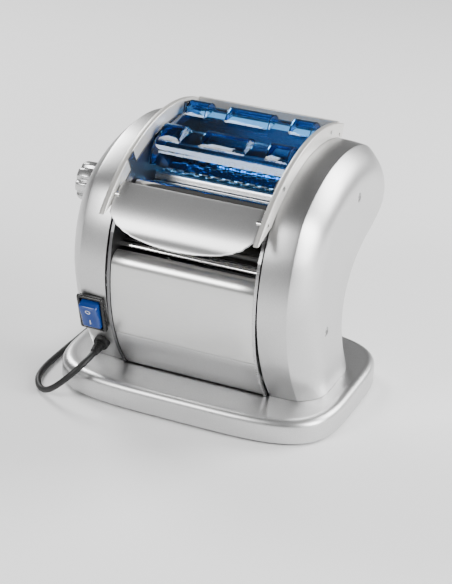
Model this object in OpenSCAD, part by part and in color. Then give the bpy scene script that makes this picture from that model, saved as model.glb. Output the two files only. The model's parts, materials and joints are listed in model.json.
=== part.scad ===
// Electric pasta roller machine: two smooth rollers, two pairs of ribbon cutters, a geared motor
// and two crowned side casings on a broad base. Millimetres, +Z up, +X to the right, front at -Y.
// The origin is on the table, below the middle of the base.

/* [Base] */
// Half of the width of the base
base_half_w = 155; // [150:1:165]
// Half of the depth of the base
base_half_d = 112; // [108:1:120]
// Height of the top of the base above the table
base_top = 28; // [24:1:30]
// Radius of the rounded bead along the top edge of the base
base_bead = 8; // [4:1:10]
// Height of the rubber feet
foot_h = 2.5; // [2:0.5:4]

/* [Chassis] */
// Inner distance between the two side plates
plate_gap = 154; // [150:1:158]
// Thickness of a side plate
plate_t = 3; // [2:0.5:3]
// Thickness of the folded sheet-metal covers
sheet_t = 1.5; // [1:0.5:2]

/* [Casings] */
// Distance from the middle to the inner edge of a casing
casing_inner = 82; // [81:0.5:83]
// Distance from the middle to where a casing starts to round over
casing_round = 111.5; // [110:0.5:113]
// Distance from the middle to the crown of a casing
casing_outer = 132; // [130:1:134]
// Wall of a casing
casing_wall = 3; // [2.5:0.5:3]

/* [Rollers] */
// Radius of the two smooth rollers
roller_r = 15.5; // [15:0.1:15.6]
// Radius of every roller shaft
shaft_r = 5; // [4:0.5:5]
// Radius of the cutting discs
disc_r = 12.5; // [12.2:0.1:12.7]
// Width of the wide ribbon
wide_cut = 6.5; // [5:0.5:7]
// Width of the fine ribbon
fine_cut = 2; // [2:0.5:3]

/* [Controls] */
// Radius of the thickness knob
knob_r = 21; // [18:1:24]
// Throw of the crank pin that moves the roller carriage
crank_throw = 1.6; // [1.5:0.05:1.7]
// Width of the switch frame
switch_w = 30; // [28:1:32]
// Height of the switch frame
switch_h = 42; // [38:1:44]

/* [Cord] */
// Diameter of the mains cord
cord_d = 6.5; // [6:0.5:7]

/* [Hidden] */

$fn = 48;
fit = 0.05;
plate_in = plate_gap / 2;
plate_out = plate_in + plate_t;

// Shaft centres as [y, z] in the plane of the side plates.
fixed_c = [-52, 213.5];
adjust_c = [-22, 202];
wide_c1 = [9, 208];
wide_c2 = [33, 208];
fine_c1 = [66, 208];
fine_c2 = [90, 208];
motor_c = [-32, 84];

// Gear teeth: the two smooth rollers carry coarse teeth, the motor pinion fine ones.
coarse_m = 2;
drive_m = 1.5;
fine_m = 1;
roller_teeth = 16;
fixed_drive_teeth = 28;
cutter_teeth = 16;
link_teeth = 22;
pinion_teeth = 12;
low_big_teeth = 44;
low_small_teeth = 14;
up_big_teeth = 36;
up_small_teeth = 16;
upper_idler_teeth = 25;
rear_idler_teeth = 20;
layer_a = [86, 96];
layer_b = [98, 108];
gear_plate_x = [112, 114];
pin_r = 3;

function pitch(m, a, b) = m * (a + b) / 2;
low_c = motor_c + pitch(fine_m, pinion_teeth, low_big_teeth) * [sin(20), cos(20)];
up_c = low_c + pitch(drive_m, low_small_teeth, up_big_teeth) * [-sin(19), cos(19)];
upper_idler_c = meet(up_c, pitch(drive_m, up_small_teeth, upper_idler_teeth),
                     fixed_c, pitch(drive_m, fixed_drive_teeth, upper_idler_teeth), 1);
rear_idler_c = meet(fixed_c, pitch(drive_m, fixed_drive_teeth, rear_idler_teeth),
                    wide_c1, pitch(drive_m, cutter_teeth, rear_idler_teeth), -1);
pillars = [[-82, 188], [-68, 118], [10, 130], [108, 200], [49.5, 228]];

// The carriage slides along the line through the two smooth rollers.
slide_dir = (fixed_c - adjust_c) / norm(fixed_c - adjust_c);
slide_angle = atan2(slide_dir.y, slide_dir.x);
block_half_l = 11;
block_half_h = 9;
slide_room = 1.8;

// Front of the plates and apron: one arc. Top of the plates and casings: another.
front_c = [65.6, 139.2];
front_r = 170.7;
top_c = [33, 81];
top_r = 184.6;
rail_r = 199.6;
foot_front = [-64.5, base_top];
seam_z = 76.4;
apron_top_z = 167.2;

panel_pin_c = [-94.5, 227];
rail_screw_spots = [[-60, 252], [66, 270]];
rail_x = [78, 84];
pivot_r = 2;
guard_pin_c = [90, 260];
switch_c = [-99, -98.5, 96];
switch_tilt = 15.5;
rocker_pivot = 4;
rocker_r = 16.6;
gland_c = [-98, -79, 54];
gland_tilt = 14;
gland_r = 8.5;
casing_screw_spots = [[25.8, 223], [-43.6, 105]];
foot_spots = [[118, 80], [118, -80], [-118, 80], [-118, -80]];
base_screw_spots = [[100, 68], [100, -68], [-100, 68], [-100, -68]];
tie_rod_spots = [[-70, 54], [24, 54], [24, 140], [108, 232]];

// ---- small geometry functions ----
function arc(c, r, a0, a1, n) = [for (i = [0:n])
    let (a = a0 + (a1 - a0) * i / n) c + r * [cos(a), sin(a)]];
function mix(a, b, t) = a + (b - a) * t;
function flip(v) = [for (i = [len(v) - 1:-1:0]) v[i]];
function unit(v) = v / norm(v);
function angle_at(c, p) = atan2(p.y - c.y, p.x - c.x);
// One point of a smooth curve through p1 and p2, with p0 and p3 beside them.
function curve_point(p0, p1, p2, p3, t) =
    0.5 * (2 * p1 + (p2 - p0) * t + (2 * p0 - 5 * p1 + 4 * p2 - p3) * t * t
           + (3 * p1 - p0 - 3 * p2 + p3) * t * t * t);
function smooth(p, k) = let (n = len(p) - 1) concat(
    [for (i = [0:n - 1], j = [0:k - 1])
        curve_point(p[max(i - 1, 0)], p[i], p[i + 1], p[min(i + 2, n)], j / k)],
    [p[n]]);
// A strip of thickness t along a path; the strip lies on the left of the path.
function strip(path, t) = concat(path, flip([for (i = [0:len(path) - 1])
    let (d = unit(path[min(i + 1, len(path) - 1)] - path[max(i - 1, 0)])) path[i] + t * [-d.y, d.x]]));
// Where a circle of radius ra about a meets one of radius rb about b, on one side of the line a-b.
function meet(a, ra, b, rb, side) =
    let (d = norm(b - a), u = (b - a) / d,
         s = (ra * ra - rb * rb + d * d) / (2 * d), h = sqrt(ra * ra - s * s))
    a + s * u + side * h * [-u.y, u.x];
// The turn that puts a gap of the second gear against a tooth of the first.
function mesh_turn(turn_a, teeth_a, teeth_b, a, b) =
    let (dir = angle_at(a, b)) dir + 180 - (0.5 - (dir - turn_a) * teeth_a / 360) * 360 / teeth_b;

// ---- outlines in the side view, as [y, z] ----
casing_edge = smooth([
    [-60, base_top], [-80, 58], [-95, 90], [-103.5, 120], [-106, 148], [-102, 176], [-93, 202], [-76, 229],
    [-46, 247.9], [-8, 261], [36, 265.5], [78, 260], [108, 248], [130, 228], [138, 204], [132, 179],
    [106, 160], [73, 149], [48, 135], [34, 115], [33, 92], [42, 64], [62, base_top]], 2);
casing_crown = smooth([
    [-24, base_top], [-38, 62], [-51, 94], [-60, 124], [-64, 148], [-62, 170], [-54, 190], [-42, 205],
    [-22, 215], [2, 221], [34, 223.5], [64, 221], [84, 214], [95, 206], [98, 198], [92, 190],
    [72, 182], [40, 170], [12, 150], [-4, 122], [-7, 94], [0, 62], [16, base_top]], 2);
plate_rear = smooth([
    [100, 251], [116, 237], [124, 216], [119, 190], [98, 168], [66, 150], [43, 132], [32, 112], [31, 92],
    [38, 62], [56, base_top]], 2);
plate_outline = concat(
    arc(front_c, front_r, 360 + angle_at(front_c, foot_front), angle_front(187.5), 40),
    arc(top_c, top_r, 128, 69, 30),
    plate_rear);
function angle_front(z) = 180 - asin((z - front_c.y) / front_r);

// ---- building blocks ----
module across(x0, x1) translate([x0, 0, 0]) rotate([90, 0, 90]) linear_extrude(x1 - x0) children();
module rod(c, r, x0, x1) translate([x0, c.x, c.y]) rotate([0, 90, 0]) cylinder(r = r, h = x1 - x0);
module both_sides() {
    children();
    mirror([1, 0, 0]) children();
}
// A closed solid through a row of rings. Each end is closed by strips from one half of its ring to
// the other, so the ring may bend as long as it stays a band.
module skin(rings) {
    n = len(rings[0]);
    m = len(rings);
    sides = [for (j = [0:m - 2], i = [0:n - 1]) let (k = (i + 1) % n)
        each [[j * n + i, j * n + k, (j + 1) * n + k], [j * n + i, (j + 1) * n + k, (j + 1) * n + i]]];
    lid = [for (i = [0:floor((n - 3) / 2)])
        each i + 1 == n - 2 - i ? [[i, i + 1, n - 1 - i]]
                                : [[i, i + 1, n - 2 - i], [i, n - 2 - i, n - 1 - i]]];
    polyhedron([for (r = rings) each r],
               concat(sides, [for (f = lid) flip(f)], [for (f = lid) [for (v = f) v + (m - 1) * n]]));
}
// Trapezoid teeth with room between them, so that a pair runs free at every angle.
module gear(m, teeth, turn, bore, tip = 0.85, root = 1.2, share = 0.42) {
    r = m * teeth / 2;
    step = 360 / teeth;
    lean = 0.36 * 180 / PI;
    half = share * step / 2;
    r_tip = r + tip * m;
    r_root = r - root * m;
    foot_a = half + lean * root * m / r;
    tip_a = half - lean * tip * m / r;
    difference() {
        polygon([for (i = [0:teeth - 1],
                      k = [[r_root, -foot_a], [r_tip, -tip_a], [r_tip, tip_a], [r_root, foot_a]])
            let (a = turn + i * step + k[1]) k[0] * [cos(a), sin(a)]]);
        circle(r = bore);
    }
}
module gear_at(c, layer, m, teeth, turn, bore, tip = 0.85, root = 1.2, share = 0.42)
    translate([0, c.x, c.y]) across(layer[0], layer[1]) gear(m, teeth, turn, bore, tip, root, share);
module roller(c, r, x_start, x_end) {
    rod(c, r, -plate_in + 2, plate_in - 2);
    rod(c, shaft_r, x_start, x_end);
}
module cutter(c, cut, offset_x) {
    pitch_x = 2 * cut;
    count = floor((plate_gap - 10) / pitch_x);
    gap = cut < 4 ? 0.3 : 0.15;
    start = -count * pitch_x / 2 + offset_x;
    core = disc_r - 1.5;
    translate([0, c.x, c.y]) rotate([0, 90, 0]) rotate_extrude() polygon(concat(
        [[0, -plate_out - 4], [shaft_r, -plate_out - 4],
         [shaft_r, -plate_in + 1.5], [core, -plate_in + 1.5]],
        [for (i = [0:count - 1], k = [[core, gap], [disc_r, gap], [disc_r, cut - gap], [core, cut - gap]])
            [k[0], start + i * pitch_x + k[1]]],
        [[core, plate_in - 1.5], [shaft_r, plate_in - 1.5],
         [shaft_r, layer_b[1] + 1], [0, layer_b[1] + 1]]));
}
function oval(inset, z) = let (a = base_half_w - inset, b = base_half_d - inset, n = 4.1, steps = 72)
    [for (i = [0:steps - 1]) let (t = -360 * i / steps, c = cos(t), s = sin(t))
        [a * sign(c) * pow(abs(c), 2 / n), b * sign(s) * pow(abs(s), 2 / n), z]];

// ---- base ----
module base_shell() color("silver") {
    bead = [for (t = [0:15:90]) oval(base_bead * (1 - cos(t)), base_top - base_bead * (1 - sin(t)))];
    difference() {
        skin(concat([oval(1.5, foot_h), oval(0, foot_h + 1.5)], bead));
        skin([oval(3.5, foot_h - 1), oval(3.5, 14), oval(11, base_top - 3)]);
    }
    for (s = base_screw_spots) translate([s.x, s.y, foot_h + 2]) difference() {
        cylinder(r = 5, h = base_top - foot_h - 4);
        translate([0, 0, -1]) cylinder(r = 1.7, h = 15);
    }
}
module base_cover() color("dimgray") difference() {
    translate([0, 0, foot_h]) linear_extrude(2) polygon([for (p = oval(3.8, 0)) [p.x, p.y]]);
    for (s = base_screw_spots) translate([s.x, s.y, 0]) cylinder(r = 2, h = 10);
}
module rubber_feet() color("black") for (s = foot_spots) translate([s.x, s.y, 0]) difference() {
    cylinder(r = 11, h = foot_h);
    translate([0, 0, -1]) cylinder(r = 6, h = 2);
}
module base_screws() color("gray") for (s = base_screw_spots) translate([s.x, s.y, foot_h - 1.2]) {
    cylinder(r = 3.6, h = 1.2);
    cylinder(r = 1.65, h = 14);
}

// ---- chassis ----
module slot_2d(extra) translate([adjust_c.x, adjust_c.y]) rotate(slide_angle)
    square([2 * (block_half_l + extra), 2 * (block_half_h + 0.06)], center = true);
module side_plate(right) {
    across(plate_in, plate_out) difference() {
        polygon(plate_outline);
        slot_2d(slide_room);
        for (c = [fixed_c, wide_c1, wide_c2, fine_c1, fine_c2]) translate(c) circle(r = shaft_r + 3);
        for (c = tie_rod_spots) translate(c) circle(r = 2.1);
        if (right) for (c = [low_c, up_c]) translate(c) circle(r = pin_r);
        if (right) translate(motor_c) circle(r = 5);
    }
    // Thin tabs behind the rails
    across(plate_in, rail_x[0]) for (c = rail_screw_spots) difference() {
        translate(top_c) rotate(angle_at(top_c, c)) translate([top_r - 3, -6])
            square([norm(c - top_c) - top_r + 8, 12]);
        translate(c) circle(r = 1.5);
    }
}
module left_side_plate() color("lightgray") mirror([1, 0, 0]) side_plate(false);
module right_side_plate() color("lightgray") side_plate(true);
module plate_brackets() color("gray") both_sides() for (y = [-48, 26]) {
    translate([plate_in - 14, y, base_top]) cube([14, 16, 2]);
    translate([plate_in - 2, y, base_top]) cube([2, 16, 15]);
}
module tie_rods() color("lightgray") for (c = tie_rod_spots) rod(c, 4, -plate_in, plate_in);
module chassis_screws() color("gray") both_sides() {
    for (c = tie_rod_spots) {
        rod(c, 4, plate_out, plate_out + 1.8);
        rod(c, 2.1, plate_in, plate_out);
    }
    for (c = rail_screw_spots) {
        rod(c, 2.4, rail_x[1], rail_x[1] + 0.8);
        rod(c, 1.5, plate_in, rail_x[1]);
    }
}
module gear_plate() color("lightgray") across(gear_plate_x[0], gear_plate_x[1]) difference() {
    polygon([[-62, 92], [-6, 92], [20, 122], [30, 172], [60, 190], [112, 190], [114, 210], [96, 226],
             [50, 236], [0, 232], [-40, 228], [-76, 208], [-90, 188], [-88, 150], [-76, 112]]);
    for (c = [low_c, up_c, upper_idler_c, rear_idler_c]) translate(c) circle(r = pin_r);
    for (c = casing_screw_spots) translate(c) circle(r = 1.6);
}
module gear_pillars() color("lightgray") for (c = pillars) rod(c, 4, plate_out, gear_plate_x[0]);
module gear_pins() color("lightgray") {
    for (c = [low_c, up_c]) rod(c, pin_r, plate_in, gear_plate_x[1]);
    for (c = [upper_idler_c, rear_idler_c]) rod(c, pin_r, layer_b[0] - 0.8, gear_plate_x[1]);
}
module bush(c, r, bore, x0, x1) difference() {
    rod(c, r, x0, x1);
    rod(c, bore, x0 - 1, x1 + 1);
}
module shaft_bushes() color("goldenrod") {
    both_sides() for (c = [fixed_c, wide_c1, wide_c2, fine_c1, fine_c2])
        bush(c, shaft_r + 3, shaft_r + fit, plate_in - 1, plate_out);
    bush(motor_c, 5, 3 + fit, plate_in, plate_out);
    bush(adjust_c, 8, 4 + fit, -casing_outer - 0.5, -casing_outer + 12);
}

// ---- casings ----
function casing_rings(wall, open_x) = let (shares = [0, 0.012, 0.05, 0.12, 0.24, 0.42, 0.7, 1])
    concat([[for (i = [0:len(casing_edge) - 1]) casing_at(i, 0, open_x, wall)]],
           [for (u = shares) [for (i = [0:len(casing_edge) - 1])
               casing_at(i, u, mix(casing_round, casing_outer - wall, sqrt(1 - (1 - u) * (1 - u))), wall)]]);
function casing_at(i, u, x, wall) =
    let (u0 = wall / norm(casing_crown[i] - casing_edge[i]),
         p = mix(casing_edge[i], casing_crown[i], mix(wall > 0 ? u0 : 0, 1, u)),
         low = wall > 0 && (i == 0 || i == len(casing_edge) - 1) ? 1 : 0)
    [x, p.x, p.y - low];
module casing(boss_start) {
    difference() {
        skin(casing_rings(0, casing_inner));
        skin(casing_rings(casing_wall, casing_inner - 1));
        for (c = casing_screw_spots) {
            rod(c, 1.6, casing_inner, casing_outer + 1);
            rod(c, 4.6, casing_outer - 2.2, casing_outer + 1);
        }
    }
    for (c = casing_screw_spots) difference() {
        rod(c, 5.5, boss_start, casing_outer - casing_wall);
        rod(c, 1.6, boss_start - 1, casing_outer + 1);
    }
}
module right_casing() color("silver") casing(gear_plate_x[1]);
module left_casing() color("silver") difference() {
    mirror([1, 0, 0]) casing(plate_out);
    on_switch() cube([switch_w - 5, 40, switch_h - 5], center = true);
    rod(adjust_c, 8, -casing_outer - 1, -casing_outer + 12);
    translate(gland_c) rotate([90 + gland_tilt, 0, 0]) cylinder(r = gland_r, h = 30, center = true);
}
module casing_screws() color("gray") both_sides() for (c = casing_screw_spots) {
    rod(c, 4.2, casing_outer - 2.2, casing_outer - 0.6);
    rod(c, 1.6, gear_plate_x[0] - 3, casing_outer - 1);
}
module arch_frame() color("lightgray") {
    start = [-117, 81 + sqrt(rail_r * rail_r - 150 * 150)];
    inner_r = top_r + 0.3;
    low = [-86, 81 + sqrt(inner_r * inner_r - 119 * 119)];
    rear_a = angle_at(top_c, [103, 267]);
    both_sides() across(rail_x[0], rail_x[1]) difference() {
        polygon(concat(arc(top_c, rail_r, angle_at(top_c, start), rear_a, 30),
                       arc(top_c, inner_r, rear_a, angle_at(top_c, low), 24)));
        for (c = [panel_pin_c, guard_pin_c]) translate(c) circle(r = pivot_r + fit);
        for (c = rail_screw_spots) translate(c) circle(r = 1.5);
    }
    // The beam across the back, hollowed from below
    difference() {
        across(-plate_in - 1.5, plate_in + 1.5)
            polygon([[97.5, 256], [101.5, 254], [106, 266], [103, 269.4], [97.5, 271]]);
        across(-plate_in + 3, plate_in - 3) polygon([[90, 250], [99.5, 250], [101, 266], [90, 266]]);
    }
}

// ---- sheet covers ----
module apron() color("lightgray") {
    lower = angle_front(seam_z);
    upper = angle_front(apron_top_z - 1);
    edge = arc(front_c, front_r - 0.8, lower, upper, 20);
    tip = edge[len(edge) - 1];
    lip = [tip + [2, 2], tip + [9, 1.4]];
    across(-plate_in + 0.4, plate_in - 0.4) polygon(strip(concat(edge, lip), -sheet_t));
}
module lower_front_panel() color("silver") across(-plate_in + 0.4, plate_in - 0.4) polygon(strip(
    arc(front_c, front_r - 1.2, angle_front(base_top + 0.2), angle_front(seam_z - 0.6), 12), -sheet_t));
module rear_cover() color("silver") across(-plate_in + 0.3, plate_in - 0.3) difference() {
    polygon(strip([for (i = [1:len(plate_rear) - 1]) plate_rear[i]], -sheet_t));
    translate([0, base_top - 10]) square([100, 10]);
}
module chute() color("lightgray") across(-plate_in + 0.5, plate_in - 0.5) polygon(strip(
    [[-75, 171.4], [-60, 173], [20, 179], [96, 188]], sheet_t));
module hopper_dividers() color("lightgray") for (p = [
        [[-8.5, 214], [-6.5, 220], [-4, 221.5], [-1.5, 218.5]],
        [[38, 222], [42, 226.5], [49.5, 228.5], [57, 226.5], [61, 222]],
        [[96, 222], [98, 232], [99, 246]]])
    across(-plate_in + 0.3, plate_in - 0.3) polygon(strip(p, sheet_t));
module outlet_rod() color("lightgray") rod([-79, 168], 3.2, -plate_in, plate_in);
module outlet_strip() color("tan") across(-plate_in + 0.2, plate_in - 0.2)
    polygon([[-68, 173.8], [-58, 174.9], [-58, 176], [-66, 178], [-68, 177]]);

// ---- front panel ----
module front_panel() color("silver") difference() {
    front_panel_body();
    both_sides() rod(panel_pin_c, pivot_r, plate_in - 4.5, rail_x[1]);
}
module front_panel_body() {
    side = [[-82, 236.6], [-92, 229.2], [-103, 219.6], [-110.5, 211.2], [-117, 201.5], [-122, 196.6]];
    intersection() {
        across(-plate_in - 0.8, plate_in + 0.8) polygon(strip(smooth(side, 4), 2));
        translate([0, 0, 190]) linear_extrude(60) polygon(concat(
            [[-plate_in + 1.6, -78], [-plate_in + 1.6, -91],
             [-plate_in - 0.3, -93], [-plate_in - 0.3, -108]],
            [for (i = [0:20]) let (t = -1 + i / 10) [t * plate_in, -124.5 + 15 * pow(abs(t), 2.4)]],
            [[plate_in + 0.3, -108], [plate_in + 0.3, -93], [plate_in - 1.6, -91], [plate_in - 1.6, -78]]));
    }
    // Ears under the two side edges carry the pins.
    both_sides() across(plate_in - 4.5, plate_in - 2)
        polygon([[-84, 233.5], [-104, 217.4], [-101, 215], [-90, 221], [-84, 230]]);
}
module panel_pins() color("lightgray") both_sides() rod(panel_pin_c, pivot_r, plate_in - 4.5, rail_x[1]);

// ---- guard ----
guard_rows = [[-2, 256.5], [57, 264]];
guard_bumps = [[-70, -46], [-24.5, 24.5], [46, 70]];
bump_r = 16;
module guard_sheet() across(-72, 72) polygon(strip(
    smooth([[-28.4, 237], [-25, 250], [-18, 260], [2, 264], [40, 268.5], [74, 270], [88, 264]], 2), -2));
module guard() color([0.1, 0.35, 0.85, 0.5]) {
    difference() {
        union() {
            guard_sheet();
            for (c = guard_rows, b = guard_bumps) intersection() {
                rod(c, bump_r, b[0], b[1]);
                across(-75, 75) polygon([[-40, 258], [-10, 262], [100, 270], [100, 300], [-40, 300]]);
            }
        }
        for (c = guard_rows, b = guard_bumps) rod(c, bump_r - 2, b[0] + 2, b[1] - 2);
    }
    both_sides() across(71, 73.5) difference() {
        polygon([[-28.4, 237], [-25, 250], [-18, 260], [2, 264], [40, 268.5], [74, 270], [88, 266.5],
                 [94, 262], [94, 257], [86, 256], [40, 256], [4, 248], [-16, 237]]);
        translate(guard_pin_c) circle(r = pivot_r);
    }
}
module guard_pins() color("lightgray") both_sides() rod(guard_pin_c, pivot_r, 71, rail_x[1]);

// ---- rollers and cutters ----
module fixed_roller() color("lightgray") roller(fixed_c, roller_r, -plate_out - 4, layer_b[1] + 1);
module adjustable_roller() color("lightgray") roller(adjust_c, roller_r, -plate_out - 1.2, layer_a[1] + 0.8);
module wide_cutter_front() color("lightgray") cutter(wide_c1, wide_cut, 0);
module wide_cutter_rear() color("lightgray") cutter(wide_c2, wide_cut, wide_cut);
module fine_cutter_front() color("lightgray") cutter(fine_c1, fine_cut, 0);
module fine_cutter_rear() color("lightgray") cutter(fine_c2, fine_cut, fine_cut);
module roller_carriage() color("goldenrod") {
    both_sides() across(plate_in - 0.8, plate_out + 1.5) difference() {
        translate(adjust_c) rotate(slide_angle) square([2 * block_half_l, 2 * block_half_h], center = true);
        translate(adjust_c) circle(r = shaft_r + fit);
    }
    // Two arms and a bar below the roller join the blocks, so that they slide as one.
    translate([0, adjust_c.x, adjust_c.y]) rotate([slide_angle, 0, 0]) {
        both_sides() across(plate_in - 1.6, plate_in - 0.4) difference() {
            translate([-4, 0]) square([8, roller_r + 4.4]);
            circle(r = shaft_r + 0.4);
        }
        across(-plate_in + 0.4, plate_in - 0.4) translate([-4, roller_r + 1.4]) square([8, 3]);
    }
    // The forked lug that the crank pin of the knob works in.
    across(-plate_out - 7, -plate_out - 1.5) translate(adjust_c) rotate(slide_angle) difference() {
        square([12, 2 * block_half_h], center = true);
        square([3 + 0.4, 2 * block_half_h + 1], center = true);
    }
}
module roller_scraper() color("tan") across(-plate_in + 2, plate_in - 2)
    polygon([[-60.5, 193.9], [-58, 192.4], [-54.5, 196.8], [-56, 197.4]]);
module cutter_combs() color("tan") for (pair = [[wide_c1, wide_cut, 1, 0], [wide_c2, wide_cut, -1, wide_cut],
                                           [fine_c1, fine_cut, 1, 0],
                                           [fine_c2, fine_cut, -1, fine_cut]]) {
    c = pair[0];
    cut = pair[1];
    shift_x = pair[3];
    count = floor((plate_gap - 10) / (2 * cut));
    start = -count * cut + shift_x;
    across(-plate_in + 0.4, plate_in - 0.4) translate([c.x - 3, c.y - disc_r - 5]) square([6, 4]);
    for (i = [0:count - 2]) translate([start + (2 * i + 1) * cut + 0.35, c.x - 2, c.y - disc_r - 1.5])
        cube([cut - 0.7, 4, 1.9]);
}

// ---- thickness control ----
crank_dir = [-slide_dir.y, slide_dir.x];
crank_c = adjust_c - crank_throw * crank_dir;
module knob() color("gainsboro") across(-152, -134) translate(adjust_c) difference() {
    circle(r = knob_r);
    for (i = [0:7]) rotate(45 * i + 22.5) translate([knob_r + 3.2, 0]) circle(r = 6.5);
    circle(r = 4);
}
module knob_shaft() color("lightgray") {
    rod(adjust_c, 4, -150, -plate_out - 7.5);
    rod(adjust_c, 7, -plate_out - 10.5, -plate_out - 7.5);
    rod(crank_c, 1.5, -plate_out - 8, -plate_out - 3);
}

// ---- gears ----
turn_up_idler = mesh_turn(0, fixed_drive_teeth, upper_idler_teeth, fixed_c, upper_idler_c);
turn_up_small = mesh_turn(turn_up_idler, upper_idler_teeth, up_small_teeth, upper_idler_c, up_c);
turn_rear_idler = mesh_turn(0, fixed_drive_teeth, rear_idler_teeth, fixed_c, rear_idler_c);
turn_wide_1 = mesh_turn(turn_rear_idler, rear_idler_teeth, cutter_teeth, rear_idler_c, wide_c1);
turn_wide_2 = mesh_turn(turn_wide_1, cutter_teeth, cutter_teeth, wide_c1, wide_c2);
module adjustable_roller_gear() color("gray") gear_at(adjust_c, layer_a, coarse_m, roller_teeth,
    mesh_turn(0, roller_teeth, roller_teeth, fixed_c, adjust_c), shaft_r, 0.6, 1.1, 0.36);
module fixed_roller_gears() color("gray") {
    gear_at(fixed_c, layer_a, coarse_m, roller_teeth, 0, shaft_r, 0.6, 1.1, 0.36);
    gear_at(fixed_c, layer_b, drive_m, fixed_drive_teeth, 0, shaft_r);
    ring(fixed_c, shaft_r + 3, shaft_r, layer_a[1], layer_b[0]);
}
module ring(c, r, bore, x0, x1) across(x0, x1) translate(c) difference() {
    circle(r = r);
    circle(r = bore);
}
module wide_front_gear() color("gray")
    gear_at(wide_c1, layer_b, drive_m, cutter_teeth, turn_wide_1, shaft_r);
module wide_rear_gears() color("gray") {
    gear_at(wide_c2, layer_b, drive_m, cutter_teeth, turn_wide_2, shaft_r);
    gear_at(wide_c2, layer_a, drive_m, link_teeth, 0, shaft_r);
    ring(wide_c2, shaft_r + 3, shaft_r, layer_a[1], layer_b[0]);
}
module fine_front_gears() color("gray") {
    gear_at(fine_c1, layer_b, drive_m, cutter_teeth, 0, shaft_r);
    gear_at(fine_c1, layer_a, drive_m, link_teeth,
            mesh_turn(0, link_teeth, link_teeth, wide_c2, fine_c1), shaft_r);
    ring(fine_c1, shaft_r + 3, shaft_r, layer_a[1], layer_b[0]);
}
module fine_rear_gear() color("gray")
    gear_at(fine_c2, layer_b, drive_m, cutter_teeth,
            mesh_turn(0, cutter_teeth, cutter_teeth, fine_c1, fine_c2), shaft_r);
module upper_idler_gear() color("gray")
    gear_at(upper_idler_c, layer_b, drive_m, upper_idler_teeth, turn_up_idler, pin_r + fit);
module rear_idler_gear() color("gray")
    gear_at(rear_idler_c, layer_b, drive_m, rear_idler_teeth, turn_rear_idler, pin_r + fit);
module lower_reduction_gear() color("gray") {
    gear_at(low_c, layer_b, fine_m, low_big_teeth, 0, pin_r + fit);
    gear_at(low_c, layer_a, drive_m, low_small_teeth, 0, pin_r + fit);
    ring(low_c, 7, pin_r + fit, layer_a[1], layer_b[0]);
}
module upper_reduction_gear() color("gray") {
    gear_at(up_c, layer_b, drive_m, up_small_teeth, turn_up_small, pin_r + fit);
    gear_at(up_c, layer_a, drive_m, up_big_teeth,
            mesh_turn(0, low_small_teeth, up_big_teeth, low_c, up_c), pin_r + fit);
    ring(up_c, 7, pin_r + fit, layer_a[1], layer_b[0]);
}

// ---- motor ----
module motor_housing() color("dimgray") difference() {
    rod(motor_c, 34, -62, 60);
    rod(motor_c, 31, -58, 56);
    rod(motor_c, 3 + fit, -70, 70);
}
module motor_rotor() color("gray") {
    rod(motor_c, 24, -44, 42);
    rod(motor_c, 3, -66, layer_b[1]);
    gear_at(motor_c, layer_b, fine_m, pinion_teeth,
            mesh_turn(0, low_big_teeth, pinion_teeth, low_c, motor_c), 2.9);
}
module motor_saddle() color("gray") difference() {
    across(-50, 50) polygon([[-58, base_top], [-6, base_top], [-6, 66], [-58, 66]]);
    across(-43, 43) polygon([[-60, base_top + 4], [-4, base_top + 4], [-4, 70], [-60, 70]]);
    rod(motor_c, 34, -51, 51);
}

// ---- switch ----
module on_switch() translate(switch_c) rotate([switch_tilt, 0, 0]) children();
module switch_frame() color("black") on_switch() difference() {
    union() {
        translate([0, -0.6, 0]) cube([switch_w, 3, switch_h], center = true);
        translate([0, 12, 0]) cube([switch_w - 5.4, 23, switch_h - 5.4], center = true);
    }
    translate([0, -1, 0]) cube([switch_w - 8, 20, 2 * rocker_r + 1.2], center = true);
    translate([-20, rocker_pivot, 0]) rotate([0, 90, 0]) cylinder(r = 1.5 + fit, h = 40);
    translate([0, 9, 0]) cube([switch_w - 8, 12, 2 * rocker_r + 1.2], center = true);
}
module switch_rocker() color("royalblue") on_switch() {
    intersection() {
        translate([-switch_w / 2 + 4.5, 0, 0]) rotate([90, 0, 90]) linear_extrude(switch_w - 9)
            polygon([[6, -9], [3, -20], [-2.6, -20], [-4.4, 0], [-9.4, 20], [2, 20], [6, 9]]);
        translate([-20, rocker_pivot, 0]) rotate([0, 90, 0]) cylinder(r = rocker_r, h = 40);
    }
    translate([-switch_w / 2 + 3, rocker_pivot, 0]) rotate([0, 90, 0]) cylinder(r = 1.5, h = switch_w - 6);
}

// ---- mains cord ----
// The cord leaves the strain relief, comes down in front of the base, runs back along its left side,
// makes 4.25 turns in the coil behind the machine and turns round to the plug.
lead_route = [
    [-98, -98, 49], [-99, -106, 46.6], [-101.5, -114, 43], [-106, -120.5, 37.5], [-112.5, -125, 30.5],
    [-120.5, -127, 22.5], [-129.5, -126.5, 14.5], [-139, -123.5, 8],
    [-148.5, -117.5, 4.5], [-157, -108.5, 3.3],
    [-164, -96.5, 3.3], [-168.5, -81, 3.3], [-170.5, -60, 3.3], [-171, -30, 3.3], [-171, 0, 3.3],
    [-171, 40, 3.3], [-170, 72, 3.3], [-166, 96, 3.3], [-156, 117, 3.3], [-140, 133, 3.3], [-120, 142, 3.6],
    [-100, 144.5, 4.4], [-80, 144, 4.5]];
tail_route = [
    [-41, 183, 10.7], [-41, 198, 9.6], [-37.3, 211.8, 7], [-27.3, 221.8, 4.6], [-13.5, 225.5, 3.4],
    [0.3, 221.8, 3.8], [10.3, 211.8, 5.6], [14, 198, 9]];
coil_c = [-80, 183];
coil_r = [29.1, 42.3];
coil_z = [1.2, 14.1];
function tube_ring(p, d, r, sides) =
    let (t = unit(d), a = unit(cross(t, [0, 0, 1])), b = cross(a, t))
    [for (i = [0:sides - 1]) let (w = 360 * i / sides) p + r * (cos(w) * a + sin(w) * b)];
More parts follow.
